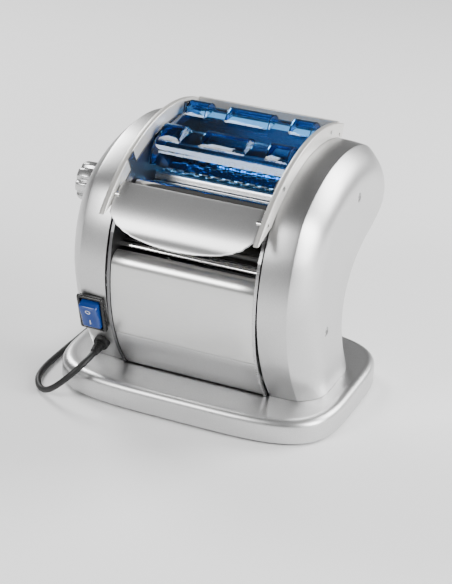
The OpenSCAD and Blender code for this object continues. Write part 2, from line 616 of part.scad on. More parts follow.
module tube(route, r, sides, k) {
    line = smooth(route, k);
    n = len(line) - 1;
    skin([for (i = [0:n]) tube_ring(line[i], line[min(i + 1, n)] - line[max(i - 1, 0)], r, sides)]);
}
module strain_relief() color("black") translate(gland_c) rotate([90 + gland_tilt, 0, 0]) {
    translate([0, 0, -7]) cylinder(r = gland_r, h = 12);
    translate([0, 0, 5]) cylinder(r1 = 6.2, r2 = 4, h = 14.6);
}
module cord_lead() color("black") tube(lead_route, cord_d / 2, 10, 3);
module cord_tail() color("black") tube(tail_route, cord_d / 2, 10, 2);
module cord_coil() color("black") translate([coil_c.x, coil_c.y, 0]) rotate_extrude($fn = 64)
    polygon([[coil_r[0], coil_z[0] + 2], [coil_r[0] + 2, coil_z[0]], [coil_r[1] - 2, coil_z[0]],
             [coil_r[1], coil_z[0] + 2], [coil_r[1], coil_z[1] - 2], [coil_r[1] - 2, coil_z[1]],
             [coil_r[0] + 2, coil_z[1]], [coil_r[0], coil_z[1] - 2]]);
module coil_tie() color("dimgray") translate([coil_c.x, coil_c.y, 0]) rotate(200)
    translate([coil_r[0] - 1.1, 0, 0]) rotate([90, 0, 0]) linear_extrude(8, center = true) difference() {
        square([coil_r[1] - coil_r[0] + 2.2, coil_z[1] + 1.1]);
        translate([0.8, 1]) square([coil_r[1] - coil_r[0] + 0.6, coil_z[1] - 0.8]);
    }
module mains_plug() color("black") translate([14, 198, 0]) {
    half = smooth([[5, 0], [6, -10], [9, -18], [15, -26], [17.5, -36], [17.5, -46]], 2);
    linear_extrude(18) polygon(concat(half, flip([for (v = half) [-v.x, v.y]])));
    for (x = [-9.5, 9.5]) translate([x, -46, 9]) rotate([90, 0, 0]) cylinder(r = 2.4, h = 19);
}

base_shell();
base_cover();
rubber_feet();
base_screws();
left_side_plate();
right_side_plate();
plate_brackets();
tie_rods();
chassis_screws();
left_casing();
right_casing();
casing_screws();
arch_frame();
apron();
lower_front_panel();
rear_cover();
chute();
hopper_dividers();
outlet_rod();
outlet_strip();
front_panel();
panel_pins();
guard();
guard_pins();
fixed_roller();
adjustable_roller();
roller_carriage();
shaft_bushes();
wide_cutter_front();
wide_cutter_rear();
fine_cutter_front();
fine_cutter_rear();
cutter_combs();
roller_scraper();
knob();
knob_shaft();
gear_plate();
gear_pillars();
gear_pins();
fixed_roller_gears();
adjustable_roller_gear();
wide_front_gear();
wide_rear_gears();
fine_front_gears();
fine_rear_gear();
upper_idler_gear();
rear_idler_gear();
lower_reduction_gear();
upper_reduction_gear();
motor_housing();
motor_rotor();
motor_saddle();
switch_frame();
switch_rocker();
strain_relief();
cord_lead();
cord_coil();
coil_tie();
cord_tail();
mains_plug();
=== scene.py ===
"""Looks of an electric pasta roller machine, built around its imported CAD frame.

Lengths in the classes are millimetres in the CAD frame: X to the right, Y to the back, Z up, with the
origin on the table. MM turns them into Blender's metres when a mesh is made.
"""

import json
import logging
import math
from dataclasses import dataclass, replace
from enum import Enum
from typing import Callable, Iterable, Sequence

import bmesh
import bpy
from mathutils import Matrix, Vector

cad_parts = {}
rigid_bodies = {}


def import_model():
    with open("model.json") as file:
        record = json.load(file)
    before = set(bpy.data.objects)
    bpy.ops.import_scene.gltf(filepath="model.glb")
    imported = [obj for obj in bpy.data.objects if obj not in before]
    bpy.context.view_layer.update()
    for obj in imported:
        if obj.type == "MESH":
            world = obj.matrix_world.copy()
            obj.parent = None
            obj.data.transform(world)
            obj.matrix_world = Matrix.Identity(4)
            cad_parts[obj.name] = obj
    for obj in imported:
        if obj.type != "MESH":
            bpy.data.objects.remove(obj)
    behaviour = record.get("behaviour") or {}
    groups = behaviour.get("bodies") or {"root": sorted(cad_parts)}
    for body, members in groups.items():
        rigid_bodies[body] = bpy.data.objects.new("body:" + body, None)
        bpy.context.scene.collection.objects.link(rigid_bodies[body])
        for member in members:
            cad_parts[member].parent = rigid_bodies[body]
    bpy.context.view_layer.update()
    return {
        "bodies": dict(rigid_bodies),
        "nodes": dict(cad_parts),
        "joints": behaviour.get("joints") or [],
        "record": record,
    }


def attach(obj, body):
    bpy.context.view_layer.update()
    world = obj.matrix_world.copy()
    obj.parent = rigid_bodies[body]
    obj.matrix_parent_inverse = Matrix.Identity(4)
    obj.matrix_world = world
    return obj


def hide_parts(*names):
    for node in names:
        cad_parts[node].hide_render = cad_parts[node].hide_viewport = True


LOG = logging.getLogger("pasta_roller")
MM = 0.001
Point = tuple[float, float]
Point3 = tuple[float, float, float]
Piece = bpy.types.Object

FRONT_CENTRE: Point = (65.6, 139.2)
FRONT_RADIUS = 170.7
TOP_CENTRE: Point = (33.0, 81.0)


class Side(Enum):
    """The two sides of the machine, as the sign of X."""

    LEFT = -1
    RIGHT = 1


# ---- curves in the side view ----
def arc(centre: Point, radius: float, start: float, end: float, steps: int) -> list[Point]:
    """Points along a circular arc.

    Args:
        centre: Centre of the arc.
        radius: Radius of the arc.
        start: Angle of the first point, in degrees.
        end: Angle of the last point, in degrees.
        steps: Number of steps between them.

    Returns:
        The points, first to last.
    """
    turns = [math.radians(start + (end - start) * i / steps) for i in range(steps + 1)]
    return [(centre[0] + radius * math.cos(a), centre[1] + radius * math.sin(a)) for a in turns]


def full_turn(count: int) -> list[float]:
    """Evenly spaced angles round a full turn, in radians."""
    return [2 * math.pi * i / count for i in range(count)]


def squared(angle: float, exponent: float) -> Point:
    """A point of a unit superellipse, whose cosine and sine are raised to exponent."""
    c, s = math.cos(angle), math.sin(angle)
    return math.copysign(abs(c) ** exponent, c), math.copysign(abs(s) ** exponent, s)


def ramp(value: float, length: float) -> float:
    """Rises from 0 to 1 while value goes from 0 to length."""
    return min(max(value / length, 0), 1)


def angle_to(centre: Point, point: Point) -> float:
    """Angle of a point about a centre, in degrees."""
    return math.degrees(math.atan2(point[1] - centre[1], point[0] - centre[0]))


def front_angle(height: float) -> float:
    """Angle at which the front arc of the machine reaches a height, in degrees."""
    return 180 - math.degrees(math.asin((height - FRONT_CENTRE[1]) / FRONT_RADIUS))


def smooth(points: Sequence[Sequence[float]], steps: int) -> list[tuple[float, ...]]:
    """A Catmull-Rom curve through the points.

    Args:
        points: Points of any dimension.
        steps: Steps between two neighbours.

    Returns:
        The curve's points, which include the given ones.
    """
    last = len(points) - 1
    line = []
    for i in range(last):
        around = [points[max(i - 1, 0)], points[i], points[i + 1], points[min(i + 2, last)]]
        for j in range(steps):
            t = j / steps
            line.append(tuple(
                0.5 * (2 * b + (c - a) * t + (2 * a - 5 * b + 4 * c - d) * t * t
                       + (3 * b - a - 3 * c + d) * t ** 3)
                for a, b, c, d in zip(*around)))
    line.append(tuple(points[last]))
    return line


def along(line: Sequence[Sequence[float]], share: float) -> tuple[float, ...]:
    """The point at a share of a polyline's length, from 0 to 1."""
    lengths = [math.dist(a, b) for a, b in zip(line, line[1:])]
    rest = share * sum(lengths)
    for a, b, length in zip(line, line[1:], lengths):
        if rest <= length or b is line[-1]:
            t = rest / length
            return tuple(p + (q - p) * t for p, q in zip(a, b))
        rest -= length
    return tuple(line[-1])


# ---- modelling with Blender's operators ----
def start_fresh() -> None:
    """Leaves edit mode and deselects everything."""
    if bpy.context.object and bpy.context.object.mode != "OBJECT":
        bpy.ops.object.mode_set(mode="OBJECT")
    bpy.ops.object.select_all(action="DESELECT")


def choose(piece: Piece) -> None:
    """Makes a piece the only selected and the active one."""
    start_fresh()
    piece.select_set(True)
    bpy.context.view_layer.objects.active = piece


def place_ring(mesh: bpy.types.Mesh, old: Sequence[Point3], new: Sequence[Point3]) -> None:
    """Moves the selected ring of an edited mesh from its old points to new ones.

    Args:
        mesh: Mesh in edit mode.
        old: Where the ring lies, in millimetres.
        new: Where each of its points goes, in the same order.
    """
    edit = bmesh.from_edit_mesh(mesh)
    where = {tuple(round(c, 3) for c in p): Vector(q) * MM for p, q in zip(old, new)}
    for vertex in [v for v in edit.verts if v.select]:
        vertex.co = where[tuple(round(c / MM, 3) for c in vertex.co)]
    bmesh.update_edit_mesh(mesh)


def loft(name: str, rings: Sequence[Sequence[Point3]], close_start: bool = True,
         close_end: bool = True, crease: float = 35.0) -> Piece:
    """A skin through a row of closed rings, extruded one ring after another.

    Args:
        name: Name of the new piece.
        rings: Rings with the same number of points, in millimetres.
        close_start: Whether the first ring gets a face.
        close_end: Whether the last ring gets a face.
        crease: Edges sharper than this angle stay sharp, in degrees.

    Returns:
        The new piece.
    """
    rings = [[tuple(round(c, 3) for c in p) for p in ring] for ring in rings]
    start_fresh()
    bpy.ops.mesh.primitive_circle_add(vertices=len(rings[0]), radius=1, location=(0, 0, 0))
    piece = bpy.context.object
    piece.name = piece.data.name = name
    for vertex, point in zip(piece.data.vertices, rings[0]):
        vertex.co = Vector(point) * MM
    bpy.ops.object.mode_set(mode="EDIT")
    bpy.ops.mesh.select_all(action="SELECT")
    if close_start:
        bpy.ops.mesh.edge_face_add()
    bpy.ops.mesh.select_mode(type="EDGE")
    for before, after in zip(rings, rings[1:]):
        bpy.ops.mesh.extrude_edges_move(TRANSFORM_OT_translate={"value": (0, 0, 0)})
        place_ring(piece.data, before, after)
    if close_end:
        bpy.ops.mesh.edge_face_add()
    bpy.ops.mesh.select_mode(type="VERT")
    bpy.ops.mesh.select_all(action="SELECT")
    bpy.ops.mesh.normals_make_consistent(inside=False)
    bpy.ops.object.mode_set(mode="OBJECT")
    return soften(piece, crease)


def surface(name: str, columns: int, rows: int, shape: Callable[[int, int], Point3],
            thickness: float, crease: float = 35.0, edge: float = 0.35) -> Piece:
    """A folded or pressed sheet: a grid put in shape, then given its thickness and rounded edges.

    Args:
        name: Name of the new piece.
        columns: Steps across.
        rows: Steps along.
        shape: Gives the place of a grid point, in millimetres, from its column and row.
        thickness: Thickness of the sheet, which grows away from the visible face.
        crease: Edges sharper than this angle stay sharp, in degrees.
        edge: Radius along the sheet's edges.

    Returns:
        The new piece.
    """
    start_fresh()
    bpy.ops.mesh.primitive_grid_add(x_subdivisions=columns, y_subdivisions=rows, size=2)
    piece = bpy.context.object
    piece.name = piece.data.name = name
    for vertex in piece.data.vertices:
        column = round((vertex.co.x + 1) / 2 * columns)
        row = round((vertex.co.y + 1) / 2 * rows)
        vertex.co = Vector(shape(column, row)) * MM
    modify(piece, "SOLIDIFY", thickness=thickness * MM, offset=-1.0)
    bevel(piece, edge, angle=50)
    return soften(piece, crease)


def modify(piece: Piece, kind: str, **settings: object) -> None:
    """Adds a modifier to a piece and applies it.

    Args:
        piece: The piece.
        kind: Type of the modifier.
        settings: Its settings by name.
    """
    choose(piece)
    bpy.ops.object.modifier_add(type=kind)
    modifier = piece.modifiers[-1]
    for name, value in settings.items():
        setattr(modifier, name, value)
    bpy.ops.object.modifier_apply(modifier=modifier.name)


def bevel(piece: Piece, radius: float, segments: int = 2, angle: float = 40) -> None:
    """Rounds the edges of a piece that are sharper than an angle, in degrees."""
    modify(piece, "BEVEL", width=radius * MM, segments=segments, limit_method="ANGLE",
           angle_limit=math.radians(angle))


def soften(piece: Piece, crease: float) -> Piece:
    """Shades a piece smooth except at edges sharper than crease, in degrees."""
    choose(piece)
    bpy.ops.object.shade_smooth_by_angle(angle=math.radians(crease))
    return piece


def cut_away(piece: Piece, cutter: Piece) -> None:
    """Cuts one piece's shape out of another and removes the cutter."""
    modify(piece, "BOOLEAN", operation="DIFFERENCE", solver="EXACT", object=cutter)
    bpy.data.objects.remove(cutter)


def joined(name: str, parts: Sequence[Piece]) -> Piece:
    """Several meshes made one piece.

    Args:
        name: Name of the joined piece.
        parts: The meshes, the first of which stays.

    Returns:
        The joined piece.
    """
    start_fresh()
    for part in parts:
        part.select_set(True)
    bpy.context.view_layer.objects.active = parts[0]
    if len(parts) > 1:
        bpy.ops.object.join()
    parts[0].name = parts[0].data.name = name
    return parts[0]


def circle(centre: Point, x: float, radius: float, count: int = 48) -> list[Point3]:
    """A ring about an axis along X."""
    return [(x, centre[0] + radius * math.cos(a), centre[1] + radius * math.sin(a)) for a in full_turn(count)]


def lathe(name: str, centre: Point, profile: Iterable[Point], count: int = 48,
          crease: float = 35.0) -> Piece:
    """A turned piece about an axis along X.

    Args:
        name: Name of the new piece.
        centre: The axis, as (y, z).
        profile: (x, radius) from one end to the other.
        count: Points around.
        crease: Edges sharper than this angle stay sharp, in degrees.

    Returns:
        The new piece.
    """
    return loft(name, [circle(centre, x, r, count) for x, r in profile], crease=crease)


def prism(name: str, outline: Sequence[Point], x_start: float, x_end: float, edge: float = 0.4) -> Piece:
    """A plate between two X planes with rounded edges.

    Args:
        name: Name of the new piece.
        outline: Its outline as (y, z).
        x_start: First plane.
        x_end: Second plane.
        edge: Radius along its edges.

    Returns:
        The new piece.
    """
    piece = loft(name, [[(x, y, z) for y, z in outline] for x in (x_start, x_end)])
    bevel(piece, edge)
    return soften(piece, 35)


def block(name: str, low: Point3, high: Point3, edge: float = 0.3) -> Piece:
    """A small block with rounded edges between two corners, in millimetres."""
    start_fresh()
    bpy.ops.mesh.primitive_cube_add(size=1)
    piece = bpy.context.object
    piece.name = piece.data.name = name
    for vertex in piece.data.vertices:
        vertex.co = Vector([(a if c < 0 else b) * MM for c, a, b in zip(vertex.co, low, high)])
    if edge > 0:
        modify(piece, "BEVEL", width=edge * MM, segments=2)
    return soften(piece, 35)


# ---- finishes ----
class Pattern(Enum):
    """What breaks up the surface of a finish."""

    GRAIN = "grain"
    BRUSHED = "brushed"


def add_node(tree: bpy.types.ShaderNodeTree, kind: str, values: dict | None = None,
             **settings: object) -> bpy.types.ShaderNode:
    """Adds a node to a tree.

    Args:
        tree: The tree.
        kind: Type of the node.
        values: Constants of its inputs, by name or number.
        settings: Its other settings by name, which are made first.

    Returns:
        The node.
    """
    node = tree.nodes.new(kind)
    for name, value in settings.items():
        setattr(node, name, value)
    for socket, value in (values or {}).items():
        node.inputs[socket].default_value = value
    return node


def connect(tree: bpy.types.ShaderNodeTree, *links: tuple) -> None:
    """Links nodes, each link given as (node, output, node, input)."""
    for source, output, target, socket in links:
        tree.links.new(source.outputs[output], target.inputs[socket])


def pattern_group(pattern: Pattern) -> bpy.types.ShaderNodeTree:
    """The node group of a pattern, built once: a value from 0 to 1 and a height.

    Args:
        pattern: Which pattern.

    Returns:
        The group, with the inputs Scale and Contrast.
    """
    found = bpy.data.node_groups.get(pattern.value)
    if found:
        return found
    group = bpy.data.node_groups.new(pattern.value, "ShaderNodeTree")
    for name, default in (("Scale", 800.0), ("Contrast", 1.0)):
        socket = group.interface.new_socket(name, in_out="INPUT", socket_type="NodeSocketFloat")
        socket.default_value = default
    for name in ("Value", "Height"):
        group.interface.new_socket(name, in_out="OUTPUT", socket_type="NodeSocketFloat")
    stretch = (0.04, 1, 1) if pattern is Pattern.BRUSHED else (1, 1, 1)
    given = add_node(group, "NodeGroupInput")
    place = add_node(group, "ShaderNodeTexCoord")
    mapping = add_node(group, "ShaderNodeMapping", {"Scale": stretch})
    fine = add_node(group, "ShaderNodeTexNoise", {"Detail": 3})
    broad = add_node(group, "ShaderNodeTexNoise", {"Scale": 14})
    spread = add_node(group, "ShaderNodeMapRange", {"From Min": 0.32, "From Max": 0.68})
    blend = add_node(group, "ShaderNodeMath", {1: 0.35}, operation="MULTIPLY_ADD", use_clamp=True)
    weight = add_node(group, "ShaderNodeMath", operation="MULTIPLY")
    made = add_node(group, "NodeGroupOutput")
    connect(group, (place, "Object", mapping, "Vector"), (mapping, "Vector", fine, "Vector"),
            (place, "Object", broad, "Vector"), (given, "Scale", fine, "Scale"),
            (fine, "Fac", spread, "Value"), (spread, "Result", weight, 0), (given, "Contrast", weight, 1),
            (broad, "Fac", blend, 0), (weight, "Value", blend, 2), (blend, "Value", made, "Value"),
            (fine, "Fac", made, "Height"))
    return group


@dataclass(frozen=True)
class Finish:
    """A finish with a pattern in its colour, roughness and relief.

    Attributes:
        name: Name of the material.
        slot: The record's material slot that it belongs to; not used.
        dark: Colour in the pattern's low places.
        light: Colour in its high places.
        metallic: 1 for bare metal.
        rough_low: Lowest roughness.
        rough_high: Highest roughness.
        pattern: What breaks up the surface.
        scale: Scale of the pattern, in cells a metre.
        contrast: How strongly the fine pattern shows.
        relief: Height of the pattern's bump, in millimetres.
        clear: Share of light let through.
        coat: Weight of a clear coat.
    """

    name: str
    slot: str
    dark: Point3
    light: Point3
    metallic: float = 0.0
    rough_low: float = 0.3
    rough_high: float = 0.4
    pattern: Pattern = Pattern.GRAIN
    scale: float = 900.0
    contrast: float = 0.6
    relief: float = 0.01
    clear: float = 0.0
    coat: float = 0.0

    def material(self) -> bpy.types.Material:
        """The finish's material, built the first time that it is asked for."""
        title = f"{self.name}_finish"
        found = bpy.data.materials.get(title)
        if found:
            return found
        material = bpy.data.materials.new(title)
        material.use_nodes = True
        tree = material.node_tree
        shader = tree.nodes["Principled BSDF"]
        shader.inputs["Metallic"].default_value = self.metallic
        shader.inputs["Transmission Weight"].default_value = self.clear
        shader.inputs["Coat Weight"].default_value = self.coat
        shader.inputs["Coat Roughness"].default_value = 0.15
        shader.inputs["IOR"].default_value = 1.49
        pattern = add_node(tree, "ShaderNodeGroup", {"Scale": self.scale, "Contrast": self.contrast},
                           node_tree=pattern_group(self.pattern))
        colour = add_node(tree, "ShaderNodeMix", {"A": (*self.dark, 1), "B": (*self.light, 1)},
                          data_type="RGBA")
        gloss = add_node(tree, "ShaderNodeMapRange", {"To Min": self.rough_low, "To Max": self.rough_high})
        bump = add_node(tree, "ShaderNodeBump", {"Strength": 0.3, "Distance": self.relief * MM})
        connect(tree, (pattern, "Value", colour, "Factor"), (colour, "Result", shader, "Base Color"),
                (pattern, "Value", gloss, "Value"), (gloss, "Result", shader, "Roughness"),
                (pattern, "Height", bump, "Height"), (bump, "Normal", shader, "Normal"))
        return material


SATIN_SILVER = Finish("satin_silver", "satin_silver", (0.52, 0.52, 0.52), (0.70, 0.70, 0.70), 1.0, 0.33,
                      0.42, scale=1500, relief=0.02)
SATIN_STEEL = replace(SATIN_SILVER, name="satin_steel", slot="satin_steel")
# Painted shade: plated steel darkened to the shade inside the machine, for the chute, tie rods and outlet
# strip.
DARK_STEEL = Finish("dark_steel", "plated_steel", (0.10, 0.10, 0.10), (0.20, 0.20, 0.20), 1.0, 0.3, 0.45,
                    Pattern.BRUSHED, 1800)
# Painted shade: a darker copy of the plated steel for the left side plate, whose inner face lies in shade;
# the right plate keeps the bright plated steel.
PAINTED_SHADE_STEEL = replace(DARK_STEEL, name="painted_shade_steel", dark=(0.16, 0.16, 0.17), light=(0.26, 0.26, 0.26))
RAIL_SILVER = Finish("rail_silver", "rail_silver", (0.52, 0.51, 0.49), (0.70, 0.69, 0.66), 0.5, 0.30,
                     0.42, scale=2200, relief=0.02)
PLATED_STEEL = Finish("plated_steel", "plated_steel", (0.50, 0.50, 0.51), (0.68, 0.68, 0.68), 1.0, 0.22,
                      0.36, Pattern.BRUSHED, 1800)
POLISHED_STEEL = Finish("polished_steel", "polished_steel", (0.66, 0.66, 0.65), (0.78, 0.78, 0.77), 1.0,
                        0.29, 0.36, Pattern.BRUSHED, 2600, 0.3, 0.004)
CHROME = Finish("chrome_steel", "chrome", (0.66, 0.65, 0.63), (0.78, 0.78, 0.77), 1.0, 0.06, 0.13,
                Pattern.BRUSHED, 900, 0.4, 0.002)
SCREW_STEEL = Finish("screw_steel", "screw_steel", (0.55, 0.55, 0.55), (0.75, 0.75, 0.75), 1.0, 0.2, 0.35,
                     scale=700)
COMB_BRONZE = Finish("comb_bronze", "comb_bronze", (0.30, 0.20, 0.11), (0.46, 0.34, 0.20), 0.85, 0.3, 0.45)
BLACK_COVER = Finish("black_cover", "black_cover", (0.012, 0.012, 0.012), (0.035, 0.035, 0.035), 0.1,
                     0.45, 0.6)
FOOT_RUBBER = Finish("foot_rubber", "foot_rubber", (0.012, 0.012, 0.012), (0.03, 0.03, 0.03), 0.0, 0.7, 0.85,
                     relief=0.05)
GEAR_STEEL = Finish("gear_steel", "gear_steel", (0.22, 0.21, 0.20), (0.42, 0.42, 0.41), 1.0, 0.28, 0.5,
                    scale=500)
KNOB_SILVER = Finish("knob_silver", "knob_silver", (0.52, 0.52, 0.52), (0.70, 0.70, 0.70), 0.85, 0.22, 0.32,
                     scale=1800, coat=0.3)
BLUE_CLEAR = Finish("blue_clear", "blue_clear", (0.10, 0.36, 0.78), (0.14, 0.42, 0.84), 0.0, 0.02, 0.05,
                    scale=60, contrast=0.2, relief=0.004, clear=1.0)
SWITCH_BLACK = Finish("switch_black", "switch_black", (0.004, 0.004, 0.004), (0.012, 0.012, 0.012), 0.0,
                      0.2, 0.35)
SWITCH_BLUE = Finish("switch_blue", "switch_blue", (0.004, 0.035, 0.20), (0.008, 0.055, 0.28), 0.0, 0.15,
                     0.25, coat=0.4)
MARK_WHITE = Finish("mark_white", "switch_blue", (0.72, 0.74, 0.78), (0.9, 0.9, 0.92), 0.0, 0.3, 0.4)
CORD_BLACK = Finish("cord_black", "cord_black", (0.002, 0.002, 0.002), (0.007, 0.007, 0.007), 0.0, 0.42, 0.55,
                    scale=700, relief=0.03)
TIE_BLACK = Finish("tie_black", "tie_black", (0.02, 0.02, 0.02), (0.05, 0.05, 0.05), 0.0, 0.5, 0.7, scale=400,
                   relief=0.05)


def dress(piece: Piece, finish: Finish, body: str, *nodes: str) -> Piece:
    """Gives a piece its finish, its body and the CAD nodes that it stands for.

    Args:
        piece: The piece.
        finish: Its finish.
        body: The CAD body that it rides on.
        nodes: CAD nodes that it replaces.

    Returns:
        The same piece.
    """
    piece.data.materials.clear()
    piece.data.materials.append(finish.material())
    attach(piece, body)
    if nodes:
        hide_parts(*nodes)
    LOG.info("%s rides on %s", piece.name, body)
    return piece


def carry_over(frame: dict, finish: Finish, *nodes: str) -> None:
    """Gives CAD nodes that are shown as they are a better material.

    Args:
        frame: The loaded frame.
        finish: Their finish.
        nodes: Their names.
    """
    for name in nodes:
        node = frame["nodes"][name]
        if not node.material_slots:
            node.data.materials.append(None)
        for slot in node.material_slots:
            slot.material = finish.material()
        LOG.info("%s keeps its CAD shape in %s", name, finish.name)


# ---- studio ----
@dataclass
class Studio:
    """Camera, lamps and floor.

    Attributes:
        eye: Place of the camera, in millimetres.
        azimuth: Turn of the view to the right of the front, in degrees.
        elevation: Height of the view above level, in degrees.
        roll: Turn about the view's own axis, in degrees.
        lens: Focal length, in millimetres on a 36 mm long side.
        floor_size: Side of the floor.
        target: The point that every lamp faces.
        soft_boxes: (name, place, side, power) of each lamp, the power in watts.
    """

    eye: Point3 = (600.58, -1411.38, 822.41)
    azimuth: float = 22.91
    elevation: float = 25.22
    roll: float = 2.59
    lens: float = 100.79
    floor_size: float = 9000.0
    target: Point3 = (0, 0, 130)
    soft_boxes: tuple[tuple[str, Point3, float, float], ...] = (
        ("right_box", (2000, -300, 1000), 1200, 75), ("rear_box", (1500, 1500, 1400), 1200, 70),
        ("left_box", (-1500, 1000, 1450), 800, 40), ("front_box", (-800, -1550, 1250), 700, 26))

    def build(self) -> None:
        """Builds the whole studio."""
        self.add_camera()
        self.add_floor()
        self.add_lamps()

    def add_camera(self) -> None:
        """Places the camera and makes it the scene's own."""
        a, e, r = (math.radians(v) for v in (self.azimuth, self.elevation, self.roll))
        back = Vector((math.sin(a) * math.cos(e), -math.cos(a) * math.cos(e), math.sin(e)))
        level = Vector((math.cos(a), math.sin(a), 0))
        rise = back.cross(level)
        right = math.cos(r) * level + math.sin(r) * rise
        up = back.cross(right)
        data = bpy.data.cameras.new("camera")
        data.lens = self.lens
        data.sensor_width = 36
        data.clip_end = 50
        camera = bpy.data.objects.new("camera", data)
        turn = Matrix((right, up, back)).transposed().to_4x4()
        camera.matrix_world = Matrix.Translation(Vector(self.eye) * MM) @ turn
        bpy.context.scene.collection.objects.link(camera)
        bpy.context.scene.camera = camera

    def add_floor(self) -> None:
        """Lays a plain pale floor."""
        start_fresh()
        bpy.ops.mesh.primitive_plane_add(size=self.floor_size * MM)
        floor = bpy.context.object
        floor.name = "floor"
        material = bpy.data.materials.new("floor_white")
        material.use_nodes = True
        shader = material.node_tree.nodes["Principled BSDF"]
        shader.inputs["Base Color"].default_value = (0.92, 0.92, 0.92, 1)
        shader.inputs["Roughness"].default_value = 0.7
        floor.data.materials.append(material)

    def add_lamps(self) -> None:
        """Hangs the soft boxes and sets the even light of the room."""
        world = bpy.data.worlds.new("studio_air")
        world.use_nodes = True
        background = world.node_tree.nodes["Background"]
        background.inputs["Color"].default_value = (1, 1, 1, 1)
        background.inputs["Strength"].default_value = 0.1
        bpy.context.scene.world = world
        for box in self.soft_boxes:
            self.add_soft_box(*box)

    def add_soft_box(self, name: str, place: Point3, side: float, power: float) -> None:
        """Hangs one square lamp that faces the machine.

        Args:
            name: Name of the lamp.
            place: Its centre, in millimetres.
            side: Length of its side, in millimetres.
            power: Its power, in watts.
        """
        data = bpy.data.lights.new(name, "AREA")
        data.size = side * MM
        data.energy = power
        lamp = bpy.data.objects.new(name, data)
        aim = (Vector(place) - Vector(self.target)).to_track_quat("Z", "Y")
        lamp.matrix_world = Matrix.Translation(Vector(place) * MM) @ aim.to_matrix().to_4x4()
        bpy.context.scene.collection.objects.link(lamp)


